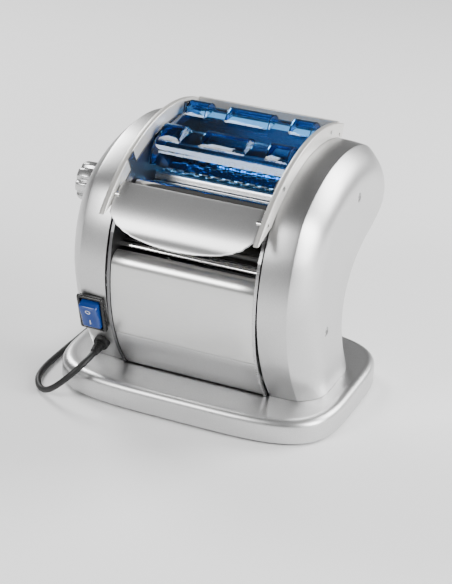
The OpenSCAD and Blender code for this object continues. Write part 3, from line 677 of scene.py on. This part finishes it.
# ---- mains cord ----
@dataclass
class MainsCord:
    """The mains cord, from its strain relief to its plug.

    Attributes:
        diameter: Diameter of the cord.
        lead: Route from the strain relief to the coil.
        coil_centre: Middle of the coil.
        winds: (radius, height) of the coil's outer and inner layer.
        coil_turns: Turns of the coil.
        turn_steps: Route points in each turn.
        step_in: (turn, share of a turn) where and over which the route moves to the inner layer.
        step_out: The same for its way back out.
        climb: The same for its rise to the inner layer's height.
        tail: Route from the coil to the plug.
        plug_tail: Where the cord enters the plug.
        gland: Middle of the strain relief on the casing.
        gland_tilt: Slope of the strain relief, in degrees.
    """

    diameter: float = 6.5
    lead: tuple[Point3, ...] = (
        (-98, -98, 49), (-99, -106, 46.6), (-101.5, -114, 43), (-106, -120.5, 37.5), (-112.5, -125, 30.5),
        (-120.5, -127, 22.5), (-129.5, -126.5, 14.5), (-139, -123.5, 8), (-148.5, -117.5, 4.5),
        (-157, -108.5, 3.3), (-164, -96.5, 3.3), (-168.5, -81, 3.3), (-170.5, -60, 3.3), (-171, -30, 3.3),
        (-171, 0, 3.3), (-171, 40, 3.3), (-170, 72, 3.3), (-166, 96, 3.3), (-156, 117, 3.3), (-140, 133, 3.3),
        (-120, 142, 3.6), (-100, 144.5, 4.4))
    coil_centre: Point = (-80, 183)
    winds: tuple[Point, ...] = ((39, 4.5), (32.4, 10.8))
    coil_turns: float = 4.25
    turn_steps: int = 16
    step_in: Point = (1.75, 0.5)
    step_out: Point = (3.85, 0.4)
    climb: Point = (1.6, 0.5)
    tail: tuple[Point3, ...] = (
        (-41, 198, 9.6), (-37.3, 211.8, 7), (-27.3, 221.8, 4.6), (-13.5, 225.5, 3.4),
        (0.3, 221.8, 3.8), (10.3, 211.8, 5.6), (14, 198, 9))
    plug_tail: Point3 = (14, 198, 9)
    gland: Point3 = (-98, -79, 54)
    gland_tilt: float = 14.0

    def build(self) -> None:
        plug = self.build_plug()
        tie = self.build_tie()
        relief = self.build_relief()
        route = self.route()
        cord = self.build_cord(route)

    def route(self) -> list[Point3]:
        """The cord's middle line: lead, coil and tail."""
        points = list(self.lead)
        (outer_r, low_z), (inner_r, high_z) = self.winds
        for i in range(round(self.coil_turns * self.turn_steps) + 1):
            turn = i / self.turn_steps
            inward, outward, rise = (ramp(turn - start, span)
                                     for start, span in (self.step_in, self.step_out, self.climb))
            share = (inward - outward) ** 2 * (3 - 2 * (inward - outward))
            radius = outer_r + (inner_r - outer_r) * share
            height = low_z + (high_z - low_z) * rise
            angle = math.radians(-90 + 360 * turn)
            points.append((self.coil_centre[0] + radius * math.cos(angle),
                           self.coil_centre[1] + radius * math.sin(angle), height))
        return points + list(self.tail)

    def build_cord(self, route: Sequence[Point3]) -> Piece:
        """The cord as one curve with a round section."""
        data = bpy.data.curves.new("mains_cord", "CURVE")
        data.dimensions = "3D"
        data.bevel_depth = self.diameter / 2 * MM
        data.bevel_resolution = 6
        data.resolution_u = 4
        data.use_fill_caps = True
        spline = data.splines.new("POLY")
        line = smooth(route, 3)
        spline.points.add(len(line) - 1)
        for point, place in zip(spline.points, line):
            point.co = (*(c * MM for c in place), 1)
        spline.use_smooth = True
        cord = bpy.data.objects.new("mains_cord", data)
        bpy.context.scene.collection.objects.link(cord)
        return dress(cord, CORD_BLACK, "chassis", "cord_lead", "cord_coil", "cord_tail")

    def build_plug(self) -> Piece:
        """A round-pin plug with a waisted body, and its two pins as a piece of their own."""
        x0, y0, z0 = self.plug_tail
        rings = []
        for y, half_w, half_h in ((-0.5, 4.2, 4.2), (-4, 5.0, 5.0), (-10, 6.2, 6.0), (-18, 9.5, 8.0),
                                  (-26, 15, 8.9), (-36, 17.4, 9.0), (-44, 17.4, 9.0), (-46, 16.4, 8.0)):
            outline = [squared(a, 0.6) for a in full_turn(40)]
            rings.append([(x0 + half_w * c, y0 + y, z0 + half_h * s) for c, s in outline])
        body = loft("plug_body", rings)
        parts = []
        for x in (-9.5, 9.5):
            pin = [[(x0 + x + r * math.cos(a), y0 + y, z0 + r * math.sin(a)) for a in full_turn(24)]
                   for y, r in ((-45.5, 2.4), (-63.5, 2.4), (-64.6, 1.7), (-65, 0.6))]
            parts.append(loft("plug_pin", pin))
        pins = dress(joined("plug_pins", parts), SCREW_STEEL, "chassis")
        plug = dress(body, CORD_BLACK, "chassis", "mains_plug")
        body.name = "plug_with_ribs"
        return plug

    def build_tie(self) -> Piece:
        """A soft strap round one side of the coil."""
        rings = []
        direction = math.radians(200)
        along_r = (math.cos(direction), math.sin(direction))
        across = (-along_r[1], along_r[0])
        loop = [(28.4, 0.5), (28.2, 7), (28.4, 14.7), (35.7, 15.0), (43.0, 14.7), (43.2, 7), (43.0, 0.5),
                (35.7, 0.3)]
        shape = smooth(loop + loop[:1], 4)[:-1]
        for offset in (-4.0, 4.0):
            rings.append([(self.coil_centre[0] + r * along_r[0] + offset * across[0],
                           self.coil_centre[1] + r * along_r[1] + offset * across[1], z) for r, z in shape])
        tie = loft("cord_tie", rings, close_start=False, close_end=False)
        modify(tie, "SOLIDIFY", thickness=0.5 * MM, offset=0.0)
        bevel(tie, 0.12, angle=50)
        return dress(soften(tie, 35), TIE_BLACK, "chassis", "coil_tie")

    def build_relief(self) -> Piece:
        """A tapered, ribbed strain relief in the casing."""
        tilt = math.radians(90 + self.gland_tilt)
        profile = [(-6.5, 8.3), (4.2, 8.3), (5, 7.6), (5.2, 6.0)]
        for i in range(5):
            start = 6.4 + 2.6 * i
            radius = 6.0 - 0.38 * i
            profile += [(start, radius), (start + 1.4, radius - 0.1), (start + 1.6, radius - 0.8),
                        (start + 2.4, radius - 0.9)]
        profile += [(19.4, 4.0), (19.6, 3.6)]
        rings = []
        for z, radius in profile:
            ring = []
            for a in full_turn(32):
                x, y = radius * math.cos(a), radius * math.sin(a)
                ring.append((self.gland[0] + x, self.gland[1] + y * math.cos(tilt) - z * math.sin(tilt),
                             self.gland[2] + y * math.sin(tilt) + z * math.cos(tilt)))
            rings.append(ring)
        return dress(loft("cord_relief", rings), CORD_BLACK, "chassis", "strain_relief")


# ---- base ----
@dataclass
class Base:
    """The broad base with a bead along its top rim.

    Attributes:
        half_w: Half of its width.
        half_d: Half of its depth.
        top: Height of its top face.
        bottom: Height of its lower rim.
        bead: Radius of the bead.
        power: Power of the outline's superellipse.
    """

    half_w: float = 155.0
    half_d: float = 112.0
    top: float = 28.0
    bottom: float = 2.5
    bead: float = 8.0
    power: float = 4.1

    def ring(self, inset: float, height: float) -> list[Point3]:
        """The base's outline, moved in by inset, at a height."""
        outline = [squared(-a, 2 / self.power) for a in full_turn(160)]
        return [((self.half_w - inset) * c, (self.half_d - inset) * s, height) for c, s in outline]

    def build(self, frame: dict) -> None:
        """Builds the shell and dresses the pieces under it."""
        turns = [math.radians(90 * i / 9) for i in range(10)]
        rim = ((4, 1), (1.8, 0), (0.4, 0.6), (0, 2))
        rings = [self.ring(inset, self.bottom + rise) for inset, rise in rim]
        rings += [self.ring(self.bead * (1 - math.cos(t)), self.top - self.bead * (1 - math.sin(t)))
                  for t in turns]
        rings += [self.ring(inset, self.top - drop)
                  for inset, drop in ((10, 0.05), (12, 0.2), (14, 0.3), (18, 0.3))]
        dress(loft("base_top_shell", rings), SATIN_SILVER, "chassis", "base_shell")
        carry_over(frame, BLACK_COVER, "base_cover")
        carry_over(frame, FOOT_RUBBER, "rubber_feet")
        carry_over(frame, SCREW_STEEL, "base_screws")


# ---- casings ----
@dataclass
class Casing:
    """One crowned S-shaped casing.

    Attributes:
        side: Which side it stands on.
        inner: Distance from the middle to its open edge.
        shoulder: Distance from the middle to where it starts to round over.
        crown: Distance from the middle to its crown.
        wall: Wall of the shell.
        screw_spots: Places of the two screws.

    EDGE is the outline beside the side plate and CROWN the one round the flat crown, both as (y, z). BAND is
    the share of the way from EDGE to CROWN that the outline has gone at the shoulder.
    """

    side: Side
    inner: float = 82.0
    shoulder: float = 111.5
    crown: float = 132.0
    wall: float = 2.5
    screw_spots: tuple[Point, ...] = ((25.8, 223.0), (-43.6, 105.0))

    EDGE = ((-60, 28), (-80, 58), (-95, 90), (-103.5, 120), (-106, 148), (-102, 176), (-93, 202), (-76, 229),
            (-46, 247.9), (-8, 261), (36, 265.5), (78, 260), (108, 248), (130, 228), (138, 204), (132, 179),
            (106, 160), (73, 149), (48, 135), (34, 115), (33, 92), (42, 64), (62, 28))
    BAND = 0.05
    CROWN = ((-24, 28), (-38, 62), (-51, 94), (-60, 124), (-64, 148), (-62, 170), (-54, 190), (-42, 205),
             (-22, 215), (2, 221), (34, 223.5), (64, 221), (84, 214), (95, 206), (98, 198), (92, 190),
             (72, 182), (40, 170), (12, 150), (-4, 122), (-7, 94), (0, 62), (16, 28))

    def build(self) -> None:
        """Builds the shell with the recesses for its screws and the hole for what passes through it."""
        sign = self.side.value
        edge, crown = smooth(self.EDGE, 6), smooth(self.CROWN, 6)
        profile = [(self.inner, 0.0), (90.0, 0.004), (97.0, 0.012), (103.0, 0.024), (108.0, 0.038),
                   (self.shoulder, self.BAND)]
        for i in range(1, 15):
            t = (i / 14) ** 1.3
            profile.append((self.shoulder + (self.crown - self.shoulder) * (1 - (1 - t) ** 2.4),
                            self.BAND + (1 - self.BAND) * t))
        rings = [[(sign * x, a[0] + (b[0] - a[0]) * share, a[1] + (b[1] - a[1]) * share)
                  for a, b in zip(edge, crown)] for x, share in profile]
        name = f"{self.side.name.lower()}_casing_shell"
        shell = loft(name, rings, close_start=False, crease=40)
        bevel(shell, 1.0, segments=3, angle=24)
        modify(shell, "SOLIDIFY", thickness=self.wall * MM, offset=-1.0, use_even_offset=True)
        recess = ((sign * 128.6, 4.4), (sign * 131, 4.5), (sign * 133, 5.6))
        for spot in self.screw_spots:
            cut_away(shell, lathe("recess", spot, recess))
        if self.side is Side.LEFT:
            cut_away(shell, lathe("knob_hole", Knob.centre, ((-100, 8.2), (-140, 8.2)), 32))
        soften(shell, 40)
        dress(shell, SATIN_SILVER, "chassis", f"{self.side.name.lower()}_casing")

    def build_screws(self) -> list[Piece]:
        """The two cross-head screws in their recesses."""
        sign = self.side.value
        heads = []
        slot_floor, slot_depth = 130.4, 1.2
        profile = ((110, 1.5), (129.4, 1.5), (129.5, 4.1), (slot_floor, 4.1), (131.2, 2.6), (131.4, 0.6))
        low_x = sign * slot_floor - slot_depth * (sign < 0)
        high_x = sign * slot_floor + slot_depth * (sign > 0)
        for spot in self.screw_spots:
            y, z = spot
            head = lathe("screw_head", spot, [(sign * x, radius) for x, radius in profile], 32)
            for half_y, half_z in ((2.2, 0.45), (0.45, 2.2)):
                cross = block("cross", (low_x, y - half_y, z - half_z), (high_x, y + half_y, z + half_z), 0)
                cut_away(head, cross)
            heads.append(soften(head, 35))
        return heads


# ---- chassis ----
@dataclass
class ArchFrame:
    """The two top rails and the beam across the back.

    Attributes:
        rail_x: Inner and outer X of a rail.
        inner_r: Radius of a rail's lower face.
        outer_r: Radius of its upper face.
        rear: Where the rails end.
        tip_outer: Front end of the upper face.
        tip_inner: Front end of the lower face.
    """

    rail_x: Point = (78.0, 84.0)
    inner_r: float = 184.9
    outer_r: float = 199.6
    rear: Point = (103.0, 267.0)
    tip_outer: Point = (-117.0, 212.7)
    tip_inner: Point = (-86.0, 222.5)

    def build(self) -> None:
        """Builds the rails and the beam as one piece."""
        parts = [self.rail(side) for side in Side]
        beam = prism("beam", [(97.5, 262), (99.0, 256), (101.5, 254), (104.5, 259), (106, 266), (103, 269.4),
                              (97.5, 270.8)], -78.5, 78.5, 0.8)
        dress(joined("arch_rails", [*parts, beam]), RAIL_SILVER, "chassis", "arch_frame")

    def rail(self, side: Side) -> Piece:
        """One rail with rounded edges.

        Args:
            side: Which side it is on.

        Returns:
            The rail.
        """
        rear = angle_to(TOP_CENTRE, self.rear)
        outer, inner = angle_to(TOP_CENTRE, self.tip_outer), angle_to(TOP_CENTRE, self.tip_inner)
        low_x, high_x = self.rail_x
        section = [(low_x, 0), (low_x, 0.93), (low_x + 0.3, 0.975), (low_x + 0.9, 1.0),
                   (high_x - 0.9, 1.0), (high_x - 0.3, 0.975), (high_x, 0.93), (high_x, 0)]
        rings = []
        for i in range(61):
            t = i / 60
            ring = []
            for x, share in section:
                angle = math.radians((inner + (outer - inner) * share) * (1 - t) + rear * t)
                radius = self.inner_r + (self.outer_r - self.inner_r) * share
                ring.append((side.value * x, TOP_CENTRE[0] + radius * math.cos(angle),
                             TOP_CENTRE[1] + radius * math.sin(angle)))
            rings.append(ring)
        return loft("rail", rings, crease=40)


@dataclass
class Covers:
    """The pressed sheets between the side plates.

    Attributes:
        half_w: Half of their width.
        seam: Height of the seam between the apron and the panel under it.
        lip: Height of the apron's rolled lip.
    """

    half_w: float = 76.6
    seam: float = 76.4
    lip: float = 166.2

    def build(self) -> None:
        """Builds every cover."""
        dress(self.apron(), POLISHED_STEEL, "chassis", "apron")
        low = arc(FRONT_CENTRE, FRONT_RADIUS - 1.2, front_angle(28.3), front_angle(self.seam - 0.6), 24)
        dress(self.sheet("toe_panel", low), SATIN_STEEL, "chassis", "lower_front_panel")
        rear = smooth([(100, 251), (116, 237), (124, 216), (119, 190), (98, 168), (66, 150), (43, 132),
                       (32, 112), (31, 92), (38, 62), (55.8, 28.3)], 6)
        dress(self.sheet("back_cover", rear[3:]), SATIN_STEEL, "chassis", "rear_cover")
        self.dividers()

    def sheet(self, name: str, path: Sequence[Sequence[float]], thickness: float = 1.4) -> Piece:
        """A sheet that follows a path in the side view.

        Args:
            name: Name of the piece.
            path: Its outer face, with that face on the right of the path.
            thickness: Thickness of the sheet.

        Returns:
            The sheet.
        """
        xs = [-self.half_w + 2 * self.half_w * i / 8 for i in range(9)]
        return surface(name, 8, len(path) - 1, lambda c, r: (xs[c], path[r][0], path[r][1]), thickness)

    def apron(self) -> Piece:
        """The polished apron with its rolled lip."""
        path = arc(FRONT_CENTRE, FRONT_RADIUS - 0.8, front_angle(self.seam), front_angle(self.lip - 13), 44)
        y, z = path[-1]
        path += arc((y + 14, z), 14, 172, 108, 8)
        path.append((path[-1][0] + 4.5, path[-1][1] + 0.8))
        return self.sheet("polished_apron", path)

    def dividers(self) -> None:
        """The notched and smooth guides above the cutters."""
        hook = smooth([(-8.5, 214), (-6.5, 220), (-4, 221.5), (-1.5, 218.5)], 4)
        hump = smooth([(38, 222), (42, 226.5), (49.5, 228.5), (57, 226.5), (61, 222)], 5)
        front = self.sheet("front_guide", hook, 1.2)
        middle = self.sheet("middle_guide", hump, 1.2)
        notches = [block("notch", (x - 3.2, 36, 219), (x + 3.2, 42.5, 230), 0) for x in range(-65, 66, 13)]
        cut_away(middle, joined("notches", notches))
        rear = self.sheet("rear_guide", smooth([(96, 222), (98, 232), (99, 246)], 6), 1.2)
        teeth = [block("tooth", (x - 0.7, 57.2, 221), (x + 0.7, 61.4, 227.4), 0.2) for x in range(-72, 73, 4)]
        guides = joined("dough_guides", [front, soften(middle, 35), rear, *teeth])
        dress(guides, PLATED_STEEL, "chassis", "hopper_dividers")


@dataclass
class FrontPanel:
    """The hinged panel with its bowed lower edge.

    Attributes:
        half_w: Half of its width below the hinge.
        narrow_w: Half of its width above the hinge.
        hinge: Height of the hinge.
        bow: How far its lower edge bulges, measured along Y.
        thickness: Thickness of the sheet.
        flare: How much further out each side reaches below the rails.
        flare_top: Height at which the flare starts.
    """

    half_w: float = 77.3
    narrow_w: float = 75.4
    hinge: float = 229.0
    bow: float = 15.0
    thickness: float = 1.8
    flare: float = 4.2
    flare_top: float = 210.0

    def build(self, frame: dict) -> None:
        """Builds the sheet and its two ears."""
        side = smooth([(-82, 236.6), (-92, 229.2), (-103, 219.6), (-110.5, 211.2), (-117, 201.5),
                       (-122, 196.6), (-124.6, 193.2)], 8)
        columns, rows = 48, 30

        def place(column: int, row: int) -> Point3:
            """Place of a grid point of the bowed sheet."""
            across = -1 + 2 * column / columns
            end_y = -124.5 + self.bow * abs(across) ** 2.4
            reach = max(i for i, p in enumerate(side) if p[0] >= end_y) / (len(side) - 1)
            share = reach * (1 - row / rows)
            y, z = along(side, self.length_share(side, reach) * (1 - row / rows) if share else 0)
            ease = ramp(self.hinge - z, 3.0)
            flare = ramp(self.flare_top - z, 6.0)
            half = self.narrow_w + (self.half_w - self.narrow_w) * ease + self.flare * flare
            corner = max(0.0, abs(across) - 0.9) / 0.1 * max(0.0, 1 - 3 * row / rows)
            return across * half * (1 - 0.012 * corner), y, z

        sheet = surface("hinged_panel", columns, rows, place, self.thickness, edge=0.6)
        ears = [prism("ear", [(-84, 233.2), (-104, 217.2), (-101, 215.2), (-90, 221.2), (-84, 230)],
                      s.value * 72.6, s.value * 75.0) for s in Side]
        dress(joined("panel_with_ears", [sheet, *ears]), SATIN_STEEL, "panel", "front_panel")
        carry_over(frame, CHROME, "panel_pins")

    @staticmethod
    def length_share(line: Sequence[Sequence[float]], reach: float) -> float:
        """The share of a line's length up to a share of its points."""
        lengths = [math.dist(a, b) for a, b in zip(line, line[1:])]
        return sum(lengths[:round(reach * (len(line) - 1))]) / sum(lengths)


@dataclass
class Guard:
    """The clear blue guard with two rows of raised half-round bumps.

    Attributes:
        rows: Axes of the two rows of bumps.
        bumps: X ranges of the bumps in a row.
        radius: Radius of a bump.
        half_w: Half of the guard's width.
        thickness: Thickness of the sheet.
    """

    rows: tuple[Point, ...] = ((-2.0, 256.5), (57.0, 264.0))
    bumps: tuple[Point, ...] = ((-70.0, -46.0), (-24.5, 24.5), (46.0, 70.0))
    radius: float = 16.0
    half_w: float = 72.0
    thickness: float = 1.9

    def build(self, frame: dict) -> None:
        """Builds the sheet and its two side walls."""
        path = smooth([(-28.4, 237), (-25, 250), (-18, 260), (2, 264), (40, 268.5), (74, 270), (88, 264)], 20)
        columns: list[tuple[float, bool]] = [(-self.half_w, False)]
        for low, high in self.bumps:
            columns += [(low - 0.1, False), (low + 0.5, True), (high - 0.5, True), (high + 0.1, False)]
        columns.append((self.half_w, False))

        def place(column: int, row: int) -> Point3:
            """Place of a grid point of the guard, on a bump where its column is raised."""
            x, raised = columns[column]
            y, z = path[row]
            return (x, y, max(z, self.crest(y)) if raised else z)

        sheet = surface("guard_sheet", len(columns) - 1, len(path) - 1, place, self.thickness, crease=20,
                        edge=0.25)
        wall = [(-28.4, 237), (-25, 250), (-18, 260), (2, 263.8), (40, 268.3), (74, 269.8), (88, 266.3),
                (94, 262), (94, 257), (86, 256), (40, 256), (4, 248), (-16, 237)]
        walls = [prism("guard_wall", wall, s.value * 72.1, s.value * 73.5) for s in Side]
        dress(joined("clear_guard", [sheet, *walls]), BLUE_CLEAR, "guard_body", "guard")
        carry_over(frame, CHROME, "guard_pins")

    def crest(self, y: float) -> float:
        """Height of the bumps' outer face at y, or 0 beside them."""
        heights = [z0 + math.sqrt(self.radius ** 2 - (y - y0) ** 2)
                   for y0, z0 in self.rows if abs(y - y0) < self.radius]
        return max(heights, default=0.0)


# ---- rollers and cutters ----
@dataclass
class Rollers:
    """The two smooth rollers and the four ribbon cutters.

    Attributes:
        roller_r: Radius of a smooth roller.
        shaft_r: Radius of a shaft.
        disc_r: Radius of a cutting disc.
        end: Half of a roller's length.
    """

    roller_r: float = 15.5
    shaft_r: float = 5.0
    disc_r: float = 12.5
    end: float = 75.0

    def build(self, frame: dict) -> None:
        """Builds all rollers and dresses the pieces round them."""
        self.smooth_roller("fixed_roller", "fixed_roller_body", (-52.0, 213.5), -84.0, 109.0)
        self.smooth_roller("adjustable_roller", "adjustable_roller_body", (-22.0, 202.0), -81.2, 96.8)
        cutters = (("wide", "front", 9.0, 6.5, 0.0), ("wide", "rear", 33.0, 6.5, 6.5),
                   ("fine", "front", 66.0, 2.0, 0.0), ("fine", "rear", 90.0, 2.0, 2.0))
        for kind, place, y, width, shift in cutters:
            self.cutter(f"{kind}_cutter_{place}", f"{kind}_{place}", (y, 208.0), width, shift)
        carry_over(frame, COMB_BRONZE, "cutter_combs", "roller_scraper", "shaft_bushes", "roller_carriage")

    def smooth_roller(self, node: str, body: str, centre: Point, start: float, finish: float) -> None:
        """One smooth roller on its shaft."""
        e, r, s = self.end, self.roller_r, self.shaft_r
        profile = [(start, s - 0.6), (start + 0.6, s), (-e, s), (-e, r - 1.2), (-e + 1.2, r), (e - 1.2, r),
                   (e, r - 1.2), (e, s), (finish - 0.6, s), (finish, s - 0.6)]
        dress(lathe(f"{node}_steel", centre, profile, 72), CHROME, body, node)

    def cutter(self, node: str, body: str, centre: Point, width: float, shift: float) -> None:
        """One grooved cutter with discs of a width, moved along X by shift."""
        count = math.floor(144 / (2 * width))
        gap = 0.3 if width < 4 else 0.15
        core, r = self.disc_r - 1.5, self.disc_r
        profile = [(-84, 4.5), (-83.5, 5), (-75.5, 5), (-75.5, core)]
        for i in range(count):
            x = -count * width + shift + 2 * i * width
            profile += [(x + gap, core), (x + gap, r), (x + width - gap, r), (x + width - gap, core)]
        profile += [(75.5, core), (75.5, 5), (108.5, 5), (109, 4.5)]
        dress(lathe(f"{node}_steel", centre, profile, 48, 25), CHROME, body, node)


# ---- controls ----
@dataclass
class Knob:
    """The fluted thickness knob.

    Attributes:
        radius: Radius over the lobes.
        flutes: Number of flutes.
        depth: Depth of a flute.
    """

    radius: float = 21.0
    flutes: int = 8
    depth: float = 3.3

    centre = (-22.0, 202.0)

    def ring(self, x: float, inset: float, roundness: float) -> list[Point3]:
        """The knob's outline at x, moved in by inset and blended towards a circle by roundness."""
        points = []
        for i in range(128):
            a = 2 * math.pi * i / 128
            dip = max(0.0, -math.cos(self.flutes * a)) ** 1.4 * self.depth * (1 - roundness)
            r = self.radius - inset - dip
            points.append((x, self.centre[0] + r * math.cos(a), self.centre[1] + r * math.sin(a)))
        return points

    def build(self, frame: dict) -> None:
        """Builds the knob with its dished face and a pointer line."""
        steps = ((-134, 1.6, 0), (-134.4, 0.6, 0), (-135.4, 0, 0), (-147.5, 0.3, 0), (-149.6, 0.8, 0),
                 (-151, 1.8, 0.1), (-151.8, 3.4, 0.3), (-152, 5.2, 0.8), (-151.6, 6.2, 1), (-150.6, 7.0, 1),
                 (-150.2, 8.4, 1),
                 (-150.2, 14, 1), (-150.8, 16.5, 1), (-151, 19, 1))
        body = loft("knob_body", [self.ring(*step) for step in steps], crease=45)
        y, z = self.centre
        pointer = block("pointer", (-151.2, y - 0.5, z + 7), (-150, y + 0.5, z + 12.2), 0.2)
        dress(joined("fluted_knob", [body, pointer]), KNOB_SILVER, "knob_body", "knob")
        carry_over(frame, CHROME, "knob_shaft")


@dataclass
class Switch:
    """The rocker switch in its black frame.

    Attributes:
        centre: Middle of the frame.
        tilt: Slope of the frame, in degrees.
        width: Width of the frame.
        height: Height of the frame.
    """

    centre: Point3 = (-99.0, -98.5, 96.0)
    tilt: float = 15.5
    width: float = 30.0
    height: float = 42.0

    def put(self, piece: Piece) -> Piece:
        """Moves a piece from the switch's own frame to its place, in its mesh."""
        turn = Matrix.Rotation(math.radians(self.tilt), 4, "X")
        piece.data.transform(Matrix.Translation(Vector(self.centre) * MM) @ turn)
        return piece

    def rounded(self, half_w: float, half_h: float, radius: float, y: float) -> list[Point3]:
        """A rectangle with rounded corners at a depth y."""
        points = []
        for corner, (sx, sz) in enumerate(((1, 1), (-1, 1), (-1, -1), (1, -1))):
            for i in range(7):
                a = math.radians(90 * corner + 15 * i)
                points.append((sx * (half_w - radius) + radius * math.cos(a), y,
                               sz * (half_h - radius) + radius * math.sin(a)))
        return points

    def build(self) -> None:
        """Builds the frame, the rocker and its two marks."""
        w, h = self.width / 2, self.height / 2
        frame = loft("switch_bezel", [self.rounded(*ring) for ring in (
            (w - 2.8, h - 2.6, 1.5, 22), (w - 2.8, h - 2.6, 1.5, 1), (w - 0.4, h - 0.4, 2, 0.9),
            (w, h, 2.2, 0.3), (w, h, 2.2, -2.4), (w - 0.5, h - 0.5, 2.0, -3.4), (w - 1.4, h - 1.2, 1.8, -3.8),
            (w - 3.2, h - 2.4, 1.4, -3.7), (w - 3.8, h - 2.9, 1.2, -2.8), (w - 4, h - 3.1, 1.0, 14))])
        dress(self.put(frame), SWITCH_BLACK, "chassis", "switch_frame")
        profile = [(6, -9), (2.6, -16.2), (-6.8, -16.2), (-8.2, 0), (-11.4, 13.6), (-6, 14.7), (0, 16),
                   (6, 9)]
        rocker = loft("rocker_body", [[(x, y, z) for y, z in profile] for x in (-w + 4.6, w - 4.6)])
        bevel(rocker, 2.2, segments=5, angle=30)
        dress(self.put(soften(rocker, 35)), SWITCH_BLUE, "rocker", "switch_rocker")
        self.build_marks()

    def build_marks(self) -> None:
        """The ring and the bar that say off and on."""
        start_fresh()
        bpy.ops.mesh.primitive_torus_add(major_radius=2.4 * MM, minor_radius=0.35 * MM, major_segments=32,
                                         minor_segments=8, rotation=(math.radians(90), 0, 0))
        ring = bpy.context.object
        bpy.ops.object.transform_apply(location=True, rotation=True, scale=True)
        lean = Matrix.Rotation(math.atan2(3.4, 14.8), 4, "X")
        ring.data.transform(Matrix.Translation(Vector((0, -9.75, 6.6)) * MM) @ lean)
        bar = block("on_bar", (-0.4, -8.0, -10.4), (0.4, -7.1, -5.2), 0.1)
        dress(self.put(joined("off_and_on_marks", [ring, bar])), MARK_WHITE, "rocker")


# ---- the whole machine ----
def dress_hidden_parts(frame: dict) -> None:
    """Gives the plates, the drive and the fasteners their materials."""
    carry_over(frame, PLATED_STEEL, "right_side_plate", "plate_brackets", "gear_plate", "gear_pillars",
               "motor_saddle")
    # The left plate is the same steel as the right one, darkened as painted shade.
    carry_over(frame, PAINTED_SHADE_STEEL, "left_side_plate")
    # Painted shade: these inner parts get plated steel darkened to the shade inside the machine.
    carry_over(frame, DARK_STEEL, "chute", "tie_rods", "outlet_strip")
    carry_over(frame, SCREW_STEEL, "chassis_screws")
    carry_over(frame, CHROME, "outlet_rod", "gear_pins")
    carry_over(frame, BLACK_COVER, "motor_housing")
    carry_over(frame, GEAR_STEEL, "fixed_roller_gears", "adjustable_roller_gear", "wide_front_gear",
               "wide_rear_gears", "fine_front_gears", "fine_rear_gear", "upper_idler_gear", "rear_idler_gear",
               "lower_reduction_gear", "upper_reduction_gear", "motor_rotor")


def main() -> None:
    """Builds the machine and its studio."""
    logging.basicConfig(level=logging.INFO, format="%(message)s")
    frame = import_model()
    Studio().build()
    MainsCord().build()
    Base().build(frame)
    casings = [Casing(side) for side in Side]
    for casing in casings:
        casing.build()
    heads = [head for casing in casings for head in casing.build_screws()]
    dress(joined("casing_screw_heads", heads), SCREW_STEEL, "chassis", "casing_screws")
    ArchFrame().build()
    Covers().build()
    FrontPanel().build(frame)
    Guard().build(frame)
    Rollers().build(frame)
    Knob().build(frame)
    Switch().build()
    dress_hidden_parts(frame)


if __name__ == "__main__":
    main()
